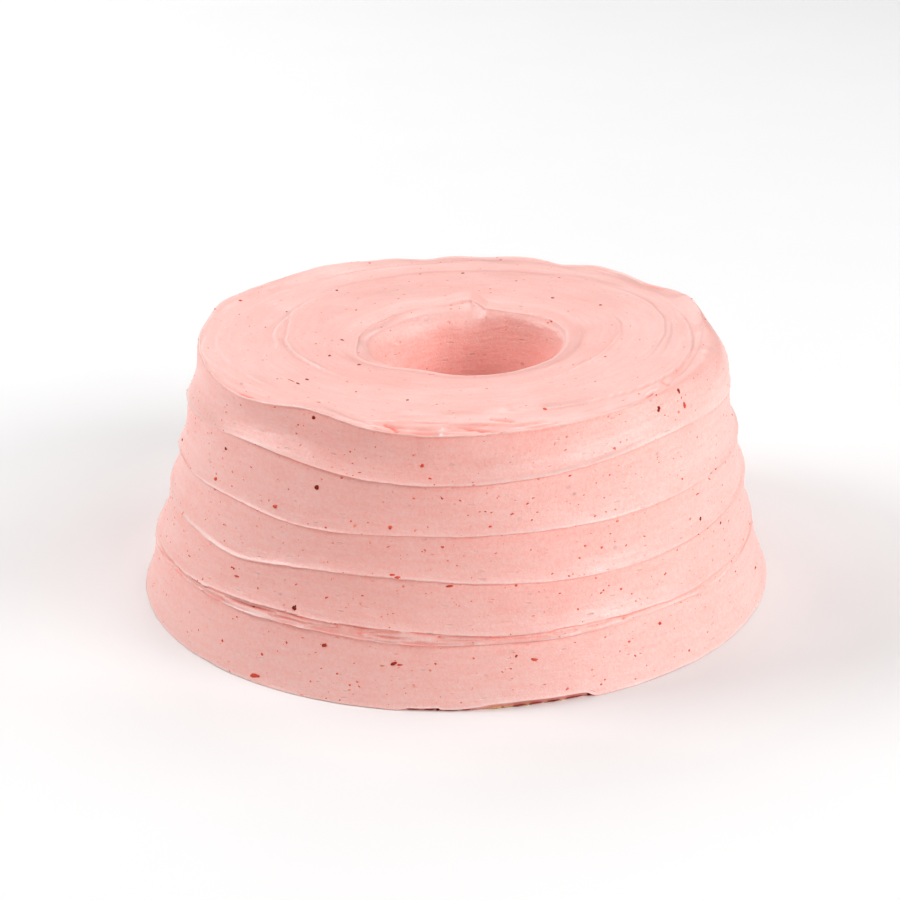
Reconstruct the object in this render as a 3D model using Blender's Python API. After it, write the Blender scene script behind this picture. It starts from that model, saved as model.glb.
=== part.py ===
"""Angel food cake: a tall ring, wider at its foot, frosted all over with strawberry buttercream.

A spatula drawn round the wall leaves level strokes.  Each stroke is a shallow trough, and where
two strokes meet the frosting stands out as a thin, slightly wandering ridge.  The top is swept
round in wide arcs, ends in a lip at the outer edge, and rolls down into the hole that the pan's
tube left.  The cake stands on its flat underside.  Azimuth 0 is the front (-Y), +90 the right (+X).
"""

import math

import bmesh
import bpy

# Driving dimensions, in metres
BASE_RADIUS = 0.1070
TOP_RADIUS = 0.0880
HEIGHT = 0.0850
WALL_FLARE = 1.3
LEAN = 0.0022
HOLE_TOP_RADIUS = 0.0315
HOLE_BASE_RADIUS = 0.0240
HOLE_TOP_X = 0.0040
HOLE_TOP_Y = -0.0045

# Mesh density
COLUMNS = 96
BAND_STEPS = (0.05, 0.20, 0.42, 0.66, 0.86)
STRIP_STEPS = (0.5,)
TOP_STEPS = (0.03, 0.10, 0.24, 0.40, 0.56, 0.72, 0.86, 0.95)
HOLE_STEPS = (0.0, 0.06, 0.20, 0.45, 0.72)

# Ridges, each a level and the bumps on it: (azimuth in degrees, width in degrees, rise in metres)
TOP_LIP = (0.0846, ((-31, 12, 0.0022), (-5, 23, -0.0012), (128, 14, 0.0012), (-142, 20, 0.0010)))
RIDGE_4 = (0.0685, ((-45, 19, 0.0039), (47, 27, 0.0046), (-109, 21, -0.0040), (165, 30, 0.0022)))
RIDGE_3 = (0.0532, ((-30, 14, -0.0018), (-68, 10, -0.0015), (-97, 17, -0.0056), (175, 45, -0.0024)))
RIDGE_2 = (0.0369, ((-14, 24, 0.0033), (-46, 8, -0.0016), (91, 33, 0.0022), (-165, 35, 0.0028)))
RIDGE_1 = (0.0222, ((-23, 27, 0.0022), (23, 9, 0.0007), (-90, 26, -0.0028), (150, 30, 0.0014)))
RIDGE_0 = (0.0202, ((-27, 10, 0.0010), (37, 9, 0.0008), (-100, 26, -0.0022), (155, 30, 0.0010)))

RIDGE_BURR = 0.0003
LIP_BURR = 0.0006
TROUGH_DEPTH = 0.0012
TOP_TROUGH_DEPTH = 0.0019
FOOT_TROUGH_DEPTH = 0.0006
STRIP_DEPTH = 0.0004
TROUGH_SKEW = 0.7

# Where the wall rolls over the top without a sharp lip, and how far the lip then lies inwards
SHOULDER = (0.0, ((78, 42, 1.0), (-95, 24, 0.35), (180, 38, 0.45)))
SHOULDER_INSET = 0.0075
SHOULDER_ROUNDNESS = 2.6
LIP_BITE = ((-36, 9, -0.0030), (110, 16, -0.0016), (-128, 14, -0.0018), (150, 10, -0.0015))

# The foot: a small rolled edge that lifts off the underside in one place at the front
FOOT_HEIGHT = 0.0008
FOOT_ROLL = 0.0010
FOOT_LIFT = 0.0020
FOOT_GAP = 0.0030
FOOT_LIFT_AZIMUTH = 8
FOOT_LIFT_WIDTH = 17
BELLY = ((-92, 34, 0.0009), (84, 30, -0.0016), (0, 40, 0.0004), (178, 40, 0.0003))
BELLY_HEIGHT = 0.016
BELLY_SPREAD = 0.016

# The top: a low crown, arcs left by the spatula, and a ledge on the back left of the hole
CROWN = 0.0006
LIP_FADE = 0.10
ARCS = (
    (0.0560, 0.0030, -85, 48, 0.0007),
    (0.0540, 0.0030, 80, 40, 0.0005),
    (0.0680, 0.0030, 72, 36, 0.0005),
)
RIM_HEIGHT = 0.0835
LEDGE = (0.0, ((-110, 36, 0.8), (-160, 30, 0.75)))
LEDGE_DROP = 0.0056
LEDGE_START = 0.80
HOLE_DENTS = ((-30, 14, -0.0016), (-128, 30, -0.0018), (150, 18, -0.0016))

FROSTING_PINK = (0.900, 0.555, 0.505, 1.0)


def bump(azimuth, centre, width):
    """A smooth rise of 1 at the centre that fades over the width, round the ring."""
    gap = (azimuth - centre + 180.0) % 360.0 - 180.0
    return math.exp(-((gap / width) ** 2))


def bumps(azimuth, entries):
    """The sum of a list of bumps, each (centre, width, rise)."""
    return sum(rise * bump(azimuth, centre, width) for centre, width, rise in entries)


def along(line, azimuth):
    """The value at an azimuth of a line that is a level with bumps on it."""
    level, entries = line
    return level + bumps(azimuth, entries)


def smooth(value):
    """0 to 1 with level ends."""
    value = min(max(value, 0.0), 1.0)
    return value * value * (3.0 - 2.0 * value)


def wall_radius(height, azimuth):
    """The flared line that the ridge tips follow."""
    fall = max(HEIGHT + 0.003 - height, 0.0) / (HEIGHT + 0.003)
    radius = TOP_RADIUS + (BASE_RADIUS - TOP_RADIUS) * fall ** WALL_FLARE
    belly = math.exp(-(((height - BELLY_HEIGHT) / BELLY_SPREAD) ** 2))
    return radius + belly * bumps(azimuth, BELLY)


def point(radius, height, azimuth, centre_x=0.0, centre_y=0.0):
    """A point of the ring; the whole cake leans a little to the right as it rises."""
    angle = math.radians(azimuth)
    x = centre_x + LEAN * height / HEIGHT + radius * math.sin(angle)
    y = centre_y - radius * math.cos(angle)
    return (x, y, height)


def ridge_tip(ridge, azimuth):
    """Radius and height of a ridge's tip."""
    height = along(ridge, azimuth)
    return wall_radius(height, azimuth) + RIDGE_BURR, height


def lip_tip(azimuth):
    """Radius and height of the lip where the wall meets the top."""
    inset = SHOULDER_INSET * along(SHOULDER, azimuth)
    return TOP_RADIUS + LIP_BURR - inset + bumps(azimuth, LIP_BITE), along(TOP_LIP, azimuth)


def trough(lower, upper, step, depth):
    """A point of the trough between two tips; step runs from 0 at the lower to 1 at the upper."""
    hollow = depth * math.sin(math.pi * (1.0 - step) ** TROUGH_SKEW)
    radius = lower[0] + (upper[0] - lower[0]) * step - hollow
    return radius, lower[1] + (upper[1] - lower[1]) * step


def shoulder(lower, upper, step):
    """A point of the rounded shoulder that takes the place of the top trough."""
    power = 2.0 / SHOULDER_ROUNDNESS
    across = math.cos(0.5 * math.pi * step) ** power
    rise = math.sin(0.5 * math.pi * step) ** power
    return upper[0] + (lower[0] - upper[0]) * across, lower[1] + (upper[1] - lower[1]) * rise


def top_band(azimuth, step):
    """A point between the highest ridge and the lip: part trough, part shoulder."""
    lower = ridge_tip(RIDGE_4, azimuth)
    upper = lip_tip(azimuth)
    hollow = trough(lower, upper, step, TOP_TROUGH_DEPTH)
    rounded = shoulder(lower, upper, step)
    share = along(SHOULDER, azimuth)
    return tuple(a + (b - a) * share for a, b in zip(hollow, rounded))


def top_height(x, y, azimuth):
    """The swept top: a low crown with the arcs that the spatula left."""
    radius = math.hypot(x, y)
    height = HEIGHT + CROWN * (1.0 - (radius / TOP_RADIUS) ** 2)
    for arc_radius, width, centre, reach, rise in ARCS:
        profile = math.exp(-(((radius - arc_radius) / width) ** 2))
        height += rise * profile * bump(azimuth, centre, reach)
    return height


def hole_rim(azimuth):
    """Radius, about the hole's centre, and height of the edge where the hole's wall starts."""
    drop = LEDGE_DROP * along(LEDGE, azimuth)
    return HOLE_TOP_RADIUS + bumps(azimuth, HOLE_DENTS), RIM_HEIGHT - drop


def top_point(azimuth, step):
    """A point of the top; step runs from 0 at the lip to 1 at the hole's rim."""
    lip_radius, lip_height = lip_tip(azimuth)
    rim_radius, rim_height = hole_rim(azimuth)
    radius = lip_radius + (rim_radius - lip_radius) * step
    x, y, _ = point(radius, HEIGHT, azimuth, HOLE_TOP_X * step, HOLE_TOP_Y * step)
    height = top_height(x, y, azimuth)
    height += (lip_height - height) * (1.0 - smooth(step / LIP_FADE))
    height += (rim_height - height) * smooth((step - LEDGE_START) / (1.0 - LEDGE_START))
    return (x, y, height)


def hole_point(azimuth, step):
    """A point of the hole's wall; step runs from 0 at the rim to 1 at the underside."""
    rim_radius, rim_height = hole_rim(azimuth)
    height = rim_height * (1.0 - step)
    radius = HOLE_BASE_RADIUS + (rim_radius - HOLE_BASE_RADIUS) * (1.0 - step)
    return point(radius, height, azimuth, HOLE_TOP_X * (1.0 - step), HOLE_TOP_Y * (1.0 - step))


def foot_lift(azimuth):
    """How far the frosting's bottom edge is lifted there, from 0 to 1."""
    return bump(azimuth, FOOT_LIFT_AZIMUTH, FOOT_LIFT_WIDTH) ** 2


def foot_tip(azimuth):
    """Radius and height of the frosting's bottom edge."""
    height = FOOT_HEIGHT + FOOT_LIFT * foot_lift(azimuth)
    return wall_radius(height, azimuth), height


def foot_rows(azimuths):
    """The underside's outer edge, then the rolled edge of the frosting above it."""
    edge = [point(foot_tip(a)[0] - FOOT_ROLL - FOOT_GAP * foot_lift(a), 0.0, a) for a in azimuths]
    roll = [point(*foot_tip(a), a) for a in azimuths]
    return [edge, roll]


def band_rows(azimuths, lower, upper, steps, depth):
    """The trough above one ridge line, then the ridge above it."""
    rows = [
        [point(*trough(lower(a), ridge_tip(upper, a), step, depth), a) for a in azimuths]
        for step in steps
    ]
    rows.append([point(*ridge_tip(upper, a), a) for a in azimuths])
    return rows


def cake_rows():
    """Every ring of points, from the underside's outer edge up the wall and down the hole."""
    azimuths = [360.0 * column / COLUMNS for column in range(COLUMNS)]
    rows = foot_rows(azimuths)
    rows += band_rows(azimuths, foot_tip, RIDGE_0, BAND_STEPS, FOOT_TROUGH_DEPTH)
    strokes = (
        (RIDGE_0, RIDGE_1, STRIP_STEPS, STRIP_DEPTH),
        (RIDGE_1, RIDGE_2, BAND_STEPS, TROUGH_DEPTH),
        (RIDGE_2, RIDGE_3, BAND_STEPS, TROUGH_DEPTH),
        (RIDGE_3, RIDGE_4, BAND_STEPS, TROUGH_DEPTH),
    )
    for lower, upper, steps, depth in strokes:
        rows += band_rows(azimuths, lambda a, ridge=lower: ridge_tip(ridge, a), upper, steps, depth)
    rows += [[point(*top_band(a, step), a) for a in azimuths] for step in BAND_STEPS]
    rows.append([point(*lip_tip(a), a) for a in azimuths])
    rows += [[top_point(a, step) for a in azimuths] for step in TOP_STEPS]
    rows += [[hole_point(a, step) for a in azimuths] for step in HOLE_STEPS]
    rows.append([hole_point(a, 1.0) for a in azimuths])
    return rows


def centred(rows):
    """The rows moved so that the origin is under the middle of the cake's box."""
    xs = [x for row in rows for x, _, _ in row]
    ys = [y for row in rows for _, y, _ in row]
    middle_x = 0.5 * (min(xs) + max(xs))
    middle_y = 0.5 * (min(ys) + max(ys))
    return [[(x - middle_x, y - middle_y, z) for x, y, z in row] for row in rows]


def ring_mesh(name, rows):
    """One closed ring of quads: each row joins the next, and the last joins the first."""
    shape = bmesh.new()
    rings = [[shape.verts.new(corner) for corner in row] for row in rows]
    for index, ring in enumerate(rings):
        following = rings[(index + 1) % len(rings)]
        for column in range(COLUMNS):
            beside = (column + 1) % COLUMNS
            shape.faces.new((ring[column], ring[beside], following[beside], following[column]))
    bmesh.ops.recalc_face_normals(shape, faces=shape.faces)
    bmesh.ops.triangulate(shape, faces=shape.faces)
    mesh = bpy.data.meshes.new(name)
    shape.to_mesh(mesh)
    shape.free()
    mesh.shade_smooth()
    mesh.set_sharp_from_angle(angle=math.radians(60.0))
    return mesh


def frosting_material():
    """Soft pink buttercream with a low, broad sheen."""
    material = bpy.data.materials.new("strawberry_frosting")
    material.use_nodes = True
    shader = material.node_tree.nodes["Principled BSDF"]
    shader.inputs["Base Color"].default_value = FROSTING_PINK
    shader.inputs["Roughness"].default_value = 0.5
    shader.inputs["Metallic"].default_value = 0.0
    return material


def clear_scene():
    """Removes whatever the file starts with."""
    for item in list(bpy.data.objects):
        bpy.data.objects.remove(item, do_unlink=True)


def main():
    clear_scene()
    mesh = ring_mesh("frosted_cake", centred(cake_rows()))
    mesh.materials.append(frosting_material())
    cake = bpy.data.objects.new("frosted_cake", mesh)
    bpy.context.scene.collection.objects.link(cake)


main()
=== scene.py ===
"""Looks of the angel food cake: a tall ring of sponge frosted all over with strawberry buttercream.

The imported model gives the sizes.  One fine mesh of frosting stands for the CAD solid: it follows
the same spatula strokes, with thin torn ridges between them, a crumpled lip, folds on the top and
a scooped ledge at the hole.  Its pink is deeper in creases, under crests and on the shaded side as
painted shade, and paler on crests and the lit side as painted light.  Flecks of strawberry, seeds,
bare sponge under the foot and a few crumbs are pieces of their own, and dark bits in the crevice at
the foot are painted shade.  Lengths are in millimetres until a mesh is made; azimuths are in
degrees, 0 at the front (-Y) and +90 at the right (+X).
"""

import math

import bmesh
import bpy
import numpy as np
from mathutils import Matrix, Vector


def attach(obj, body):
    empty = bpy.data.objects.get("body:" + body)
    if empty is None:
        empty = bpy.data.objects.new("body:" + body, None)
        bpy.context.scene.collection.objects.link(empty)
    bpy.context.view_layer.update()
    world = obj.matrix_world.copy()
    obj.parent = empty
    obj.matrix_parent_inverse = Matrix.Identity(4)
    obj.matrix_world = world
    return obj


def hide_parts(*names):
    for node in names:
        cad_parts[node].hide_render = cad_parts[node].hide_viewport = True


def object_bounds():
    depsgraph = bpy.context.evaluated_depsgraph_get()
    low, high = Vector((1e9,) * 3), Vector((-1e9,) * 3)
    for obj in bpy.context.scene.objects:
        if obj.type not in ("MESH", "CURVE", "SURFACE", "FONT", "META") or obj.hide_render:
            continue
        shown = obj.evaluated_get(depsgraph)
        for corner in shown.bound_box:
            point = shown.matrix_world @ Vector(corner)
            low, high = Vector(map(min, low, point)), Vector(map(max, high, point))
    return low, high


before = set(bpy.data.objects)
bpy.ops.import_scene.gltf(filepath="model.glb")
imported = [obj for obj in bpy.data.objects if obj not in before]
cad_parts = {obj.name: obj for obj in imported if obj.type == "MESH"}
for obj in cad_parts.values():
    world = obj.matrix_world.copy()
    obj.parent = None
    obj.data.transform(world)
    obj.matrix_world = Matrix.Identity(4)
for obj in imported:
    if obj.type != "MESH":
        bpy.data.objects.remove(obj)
CAD_LOW, CAD_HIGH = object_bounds()

MM = 0.001
BODY = "root"
NODE = "frosted_cake"

# Overall sizes, from the CAD box
FOOT_MARGIN = 0.3
LIP_MARGIN = 1.4
BASE_RADIUS = 0.5 * (CAD_HIGH[1] - CAD_LOW[1]) / MM + FOOT_MARGIN
TOP_LEVEL = CAD_HIGH[2] / MM - LIP_MARGIN
TOP_RADIUS = 88.0
WALL_FLARE = 1.3
FLARE_END = TOP_LEVEL + 3.0
LEAN = 2.2
HOLE_X, HOLE_Y = 2.9, -4.2
HOLE_BASE_RADIUS = 24.0
HOLE_FLARE = 2.4
# The lowest that the frosting and the flecks come
LOWEST, LOWEST_FLECK = 0.05, 0.02

# Ridges between strokes: a level and the bumps on it, (azimuth, width, rise)
TOP_LIP = (84.6, ((-31, 12, 2.2), (-5, 23, -1.2), (110, 9, 1.2), (131, 8, -1.2), (154, 5, -1.4),
                  (-171, 5, -1.2), (174, 6, -0.7), (-142, 16, 0.7), (-148, 6, 0.8), (-116, 13, 1.6)))
RIDGE_4 = (68.5, ((-45, 19, 3.9), (47, 27, 4.6), (-109, 21, -4.0), (165, 30, 2.2)))
RIDGE_3 = (53.2, ((-30, 14, -1.8), (-68, 10, -1.6), (-97, 17, -5.6), (175, 45, -2.4)))
RIDGE_2 = (36.9, ((-14, 24, 3.3), (-46, 8, -1.6), (91, 33, 2.2), (-165, 35, 2.8)))
RIDGE_1 = (22.2, ((-23, 27, 2.2), (23, 9, 0.7), (-90, 26, -2.8), (150, 30, 1.4)))
RIDGE_0 = (20.2, ((-27, 10, 1.0), (37, 9, 0.8), (-100, 26, -2.2), (155, 30, 1.0)))

# How far ridges stand out, how deep the strokes are between them, and how much deeper just under one
RIDGE_BURR = 0.60
LIP_BURR = 0.22
TROUGH_DEPTH = 1.15
TOP_TROUGH_DEPTH = 2.3
FOOT_TROUGH_DEPTH = 0.6
STRIP_DEPTH = 0.1
TROUGH_SKEW = 1.3
UNDERCUT = 0.36
UNDERCUT_REACH = 1.0
CREST_WIDTH = 0.36
SHARE_UNDER_TIP = 0.6

# Unevenness along a line round the cake: (height, length, number added to the line's seed)
RIDGE_WOBBLE = ((1.0, 16.0, 0), (0.5, 4.5, 1))
RIDGE_SWELL = ((0.42, 34.0, 2), (0.26, 7.0, 3), (0.22, 2.6, 6))
TROUGH_SWELL = ((0.25, 60.0, 5),)
LIP_WAVER = ((0.35, 9.0, 4),)
FOLD_WAVER = ((0.35, 11.0, 200),)
RIM_WAVER = ((0.25, 14.0, 91),)
STEEP_WAVER = ((0.3, 12.0, 92),)
SPONGE_WAVER = ((0.25, 5.0, 131), (0.2, 2.0, 132))
SPONGE_HOLE_WAVER = ((0.3, 5.0, 133),)
RIDGE_STRENGTH = 0.78
LEAST_STRENGTH, MOST_STRENGTH = 0.12, 1.4

# Where the edge is rounded off, where the lip is bitten in, and where the wall bellies out
SHOULDER = (0.0, ((76, 38, 1.0), (-86, 20, 0.35), (180, 38, 0.35)))
SHOULDER_INSET = 7.5
SHOULDER_ROUNDNESS = 2.6
SHOULDER_FADES_LIP = 0.85
LIP_BITE = ((-36, 9, -3.0), (112, 10, 1.2), (122, 8, -1.6), (-114, 16, 1.4), (-90, 12, 1.7), (-121, 8, -1.8),
            (150, 10, -1.0))
BELLY = ((-92, 34, 0.9), (84, 30, -1.6), (0, 40, 0.4), (178, 40, 0.3))
BELLY_LEVEL = 16.0
BELLY_SPREAD = 16.0

# The foot's edge, lifted at the front where another layer of frosting and the sponge show
FOOT_EDGE = 0.25
FOOT_LIFT = 2.1
LIFT_START, LIFT_END = -9.0, 24.0
LIFT_RISE, LIFT_FALL = 17.0, 2.4
LIFT_PEAK, LIFT_SAG = 14.0, 0.02
FIRST_GAP, FIRST_GAP_END = 0.35, -3.0
FOOT_RAGGED_LENGTH = 5.0
RECESS_LEVEL = 1.4
RECESS_RADIUS = 103.8
RECESS_HOLE_RADIUS = 26.5
RECESS_ROWS = 2

# How deep the pink is, from 0 to 1: the plain frosting, and how far it differs on crests and in creases. The
# differences are painted light and shade: paler on crests, ridge tips, the hole's rim, folds, wrinkles and
# tears as a painted highlight, deeper under crests, high in each stroke and in creases, steps and cuts as
# painted shade
PLAIN = 0.420
CREST_PALE = 0.26
TIP_PALE = 0.08 * CREST_PALE
RIM_PALE = 0.35 * CREST_PALE
PALE_ABOVE = 0.15
UNDER_CREST_DEEP = 0.22
DEEP_UNDER = 0.35
STROKE_SHADE = 0.035
# Paler towards the top where the shoulder is rounded: takes back the painted stroke shade there
SHOULDER_PALE = 0.06
FOLD_PALE, STEP_DEEP = 0.55, 0.22
CREASE_DEEP, WRINKLE_PALE, TORN_PALE = 0.9, 0.8, 0.17
# Paler outside the top's ring: painted light standing for the shading of its gentle slope
RING_PALE, RING_FADE = 0.05, 1.6
# Paler on the ledge inside the hole's rim: painted light where the ledge faces up
LEDGE_PALE = 0.13
# How much deeper the pink is by azimuth, all painted light and shade: deeper on the shaded front-left, under
# the lip, at the front of the top and down the hole, where it also stands for red light bounced inside it;
# paler on the lit right, at the foot and on the hole's left wall
WALL_PAINTED_SHADING = (0.0, ((-16, 30, 0.055), (66, 36, -0.02)))
FOOT_PAINTED_SHADING = (-0.03, ((-18, 34, 0.025), (56, 34, -0.065)))
UNDER_LIP_PAINTED_SHADE = (0.0, ((-16, 22, 0.05),))
TOP_PAINTED_SHADE = (0.01, ((0, 60, 0.03),))
HOLE_PAINTED_SHADING = (0.04, ((-105, 40, -0.16), (165, 25, -0.01), (125, 20, 0.08)))

# Mesh density
COLUMNS = 620
FRONT_DENSITY = 0.32
HOLE_COLUMN_SKIP = 2
# The rows inside the recess at the hole: their level, and how much further along the profile
RECESS_HOLE_ROWS = ((0.2, 3.0), (RECESS_LEVEL, 4.5))
BAKE_MARGIN = 20.0


def gap(azimuth, centre):
    """Degrees from one azimuth to another, the short way round."""
    return (azimuth - centre + 180.0) % 360.0 - 180.0


def bell(off, width):
    """1 where there is no offset, fading smoothly to 0 over the width."""
    return np.exp(-((off / width) ** 2))


def bumps(azimuth, entries):
    """The sum of smooth rises, each (centre, width, rise)."""
    total = np.zeros_like(azimuth)
    for centre, width, rise in entries:
        total = total + rise * bell(gap(azimuth, centre), width)
    return total


def along(line, azimuth):
    """The value at an azimuth of a line that is a level with bumps on it."""
    return line[0] + bumps(azimuth, line[1])


def smooth(value):
    """0 to 1 with level ends."""
    value = np.clip(value, 0.0, 1.0)
    return value * value * (3.0 - 2.0 * value)


def stretch(azimuth, start, end, fade_in, fade_out):
    """1 between two azimuths, fading out past them."""
    middle = 0.5 * (start + end)
    away = gap(azimuth, middle)
    half = 0.5 * (end - start)
    return smooth((half + away) / fade_in + 0.5) * smooth((half - away) / fade_out + 0.5)


NOISE_TABLE = np.random.default_rng(20).uniform(-1.0, 1.0, 4096)
HASH_PRIMES = (73856093, 19349663, 83492791)


def eased(part):
    """0 to 1 with level ends that don't bend either."""
    return part * part * part * (part * (6.0 * part - 15.0) + 10.0)


def noise(across, level, seed, around):
    """Smooth noise from -1 to 1 with one cell a unit; across repeats after `around` cells."""
    cell_a, cell_l = np.floor(across).astype(np.int64), np.floor(level).astype(np.int64)
    fade_a, fade_l = eased(across - cell_a), eased(level - cell_l)

    def corner(step_a, step_l):
        parts = ((cell_a + step_a) % around, cell_l + step_l, seed)
        first, second, third = (part * prime for part, prime in zip(parts, HASH_PRIMES))
        return NOISE_TABLE[(first ^ second ^ third) % len(NOISE_TABLE)]

    low = corner(0, 0) + (corner(1, 0) - corner(0, 0)) * fade_a
    high = corner(0, 1) + (corner(1, 1) - corner(0, 1)) * fade_a
    return low + (high - low) * fade_l


def swept_noise(azimuth, level, length, height, seed, radius=100.0):
    """Noise drawn out along the sweep: cells `length` long at that radius and `height` high."""
    around = max(int(round(2.0 * math.pi * radius / length)), 4)
    return noise(azimuth / 360.0 * around, level / height, seed, around)


def round_noise(azimuth, length, seed):
    """Noise along a line that runs round the cake."""
    return swept_noise(azimuth, np.full_like(azimuth, 0.5 + seed), length, 1.0, seed)


def layered(azimuth, start, layers, seed=0):
    """A start value plus noises along a line round the cake, each (height, length, added to the seed)."""
    total = start
    for height, length, added in layers:
        total = total + height * round_noise(azimuth, length, seed + added)
    return total


def torn(azimuth, level, coarse, sharpness, fine, fineness):
    """(height, loops) of torn frosting: crests where the coarse noise is 0, made rough by the fine one."""
    loops = swept_noise(azimuth, level, *coarse)
    return 1.0 - sharpness * np.abs(loops) + fineness * swept_noise(azimuth, level, *fine), loops


def wall_radius(level, azimuth):
    """The flared line that the ridges' roots follow."""
    fall = np.clip(FLARE_END - level, 0.0, None) / FLARE_END
    belly = bell(level - BELLY_LEVEL, BELLY_SPREAD) * bumps(azimuth, BELLY)
    return TOP_RADIUS + (BASE_RADIUS - TOP_RADIUS) * fall ** WALL_FLARE + belly


def place(radius, level, azimuth, centre_x=0.0, centre_y=0.0):
    """Points of one row; the whole cake leans a little to the right as it rises."""
    angle = np.radians(azimuth)
    x = centre_x + LEAN * level / TOP_LEVEL + radius * np.sin(angle)
    y = centre_y - radius * np.cos(angle)
    return np.stack([x, y, level + 0.0 * azimuth], -1)


class Ridge:
    """One ridge between two spatula strokes: where it runs, how far it stands out, how ragged it is."""

    def __init__(self, line, seed, burr=RIDGE_BURR, faint=(), ragged=0.18, undercut=UNDERCUT):
        self.line, self.seed, self.burr, self.faint, self.ragged = line, seed, burr, faint, ragged
        self.undercut = undercut

    def level(self, azimuth):
        return along(self.line, azimuth) + self.ragged * layered(azimuth, 0.0, RIDGE_WOBBLE, self.seed)

    def strength(self, azimuth):
        swell = layered(azimuth, RIDGE_STRENGTH, RIDGE_SWELL, self.seed)
        return np.clip(swell - bumps(azimuth, self.faint), LEAST_STRENGTH, MOST_STRENGTH)

    def root(self, azimuth):
        level = self.level(azimuth)
        return wall_radius(level, azimuth), level

    def standing(self, azimuth):
        return self.burr * self.strength(azimuth)


class Lip(Ridge):
    """The lip where the highest stroke meets the top."""

    def root(self, azimuth):
        radius = TOP_RADIUS - SHOULDER_INSET * along(SHOULDER, azimuth) + bumps(azimuth, LIP_BITE)
        return layered(azimuth, radius, LIP_WAVER, self.seed), self.level(azimuth)

    def strength(self, azimuth):
        shown = np.clip(1.0 - SHOULDER_FADES_LIP * along(SHOULDER, azimuth), 0.1, 1.0)
        return super().strength(azimuth) * shown


class Foot(Ridge):
    """The bottom edge of the frosting, lifted off the floor along one stretch at the front."""

    def lift(self, azimuth):
        rise = smooth((azimuth - LIFT_START) / LIFT_RISE) * smooth((LIFT_END - azimuth) / LIFT_FALL)
        rise *= 1.0 - LIFT_SAG * np.abs(gap(azimuth, LIFT_PEAK))
        first_gap = FIRST_GAP * stretch(azimuth, LIFT_START, FIRST_GAP_END, 2.0, 1.0)
        return np.clip(rise + first_gap, 0.0, 1.0)

    def level(self, azimuth):
        ragged = self.ragged * round_noise(azimuth, FOOT_RAGGED_LENGTH, self.seed)
        return along(self.line, azimuth) + ragged + FOOT_LIFT * self.lift(azimuth)


FOOT = Foot((FOOT_EDGE, ()), 11, burr=0.15, ragged=0.25)
LOWER_SEAM = Ridge(RIDGE_0, 21, 0.80, ((75, 20, 0.4), (-120, 25, 0.4)), 0.30, 0.30)
UPPER_SEAM = Ridge(RIDGE_1, 31, 0.45, ((62, 22, 0.6), (130, 30, 0.5)), 0.35, 0.10)
STROKE_2 = Ridge(RIDGE_2, 41, faint=((-78, 12, 0.4), (160, 30, 0.4)))
STROKE_3 = Ridge(RIDGE_3, 51, faint=((50, 16, 0.35), (-150, 25, 0.5)))
STROKE_4 = Ridge(RIDGE_4, 61, burr=0.62, faint=((-62, 10, 0.5), (62, 14, 0.4), (140, 18, 0.4)))
LIP = Lip(TOP_LIP, 71, burr=LIP_BURR, ragged=0.25, undercut=0.0)

# Rows of the mesh: how far above and under a ridge, how many between, and their shares of the torn strip
ABOVE_RIDGE = (0.18, 0.45, 0.9, 1.7)
UNDER_RIDGE = (2.6, 1.5, 0.8, 0.4, 0.15)
MIDDLE_ROWS = 6
STRIP_SHARES = (*np.linspace(0.06, 0.86, 11), 0.93)


def band_shares(height):
    """How far up a stroke its rows lie, 0 at the lower ridge and 1 at the upper, packed near both."""
    low = [reach / height for reach in ABOVE_RIDGE]
    high = [1.0 - reach / height for reach in UNDER_RIDGE]
    middle = np.linspace(low[-1], high[0], MIDDLE_ROWS + 2)[1:-1]
    return [*low, *middle, *high]


def stroke_rows(azimuth, shares, lower, upper, depth, rounded=None):
    """(row, blush) of one stroke from just above the lower ridge to the upper ridge's tip."""
    low_radius, low_level = lower.root(azimuth)
    high_radius, high_level = upper.root(azimuth)
    height = high_level - low_level
    swell = depth * layered(azimuth, 1.0, TROUGH_SWELL, upper.seed)
    # Painted shade and light by azimuth: deeper pink on the shaded front-left, paler on the lit right
    tone = along(FOOT_PAINTED_SHADING if lower is FOOT else WALL_PAINTED_SHADING, azimuth)
    low_crest, high_crest = lower.strength(azimuth), upper.strength(azimuth)
    rows = []
    for share in shares:
        above, under = share * height, (1.0 - share) * height
        radius = low_radius + (high_radius - low_radius) * share
        level = low_level + height * share
        radius -= swell * np.sin(np.pi * (1.0 - share) ** TROUGH_SKEW)
        radius -= upper.undercut * high_crest * np.exp(-under / UNDERCUT_REACH)
        paler = 0.0
        if rounded is not None:
            # Paler towards the top of a rounded shoulder, taking back the painted stroke shade, and deeper
            # under the lip at the front as painted shade
            paler = share * (SHOULDER_PALE * rounded - along(UNDER_LIP_PAINTED_SHADE, azimuth))
            power = 2.0 / SHOULDER_ROUNDNESS
            across = np.cos(0.5 * np.pi * share) ** power
            rise = np.sin(0.5 * np.pi * share) ** power
            radius += (high_radius + (low_radius - high_radius) * across - radius) * rounded
            level += (low_level + height * rise - level) * rounded
        radius += lower.standing(azimuth) * bell(above, CREST_WIDTH)
        radius += SHARE_UNDER_TIP * upper.standing(azimuth) * bell(under, 0.5 * CREST_WIDTH)
        # Painted shade high in the stroke under the upper ridge, painted highlight as paler pink just above
        # the lower ridge's crest
        blush = PLAIN + tone + STROKE_SHADE * (2.0 * smooth(share) - 1.0) - paler
        blush -= CREST_PALE * low_crest * bell(above - PALE_ABOVE, CREST_WIDTH)
        blush += UNDER_CREST_DEEP * high_crest * bell(under - DEEP_UNDER, DEEP_UNDER)
        rows.append((place(radius, level, azimuth), blush))
    tip = place(high_radius + upper.standing(azimuth), high_level, azimuth)
    # The tip row a little paler: a painted highlight
    rows.append((tip, PLAIN - TIP_PALE * high_crest))
    return rows


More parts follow.
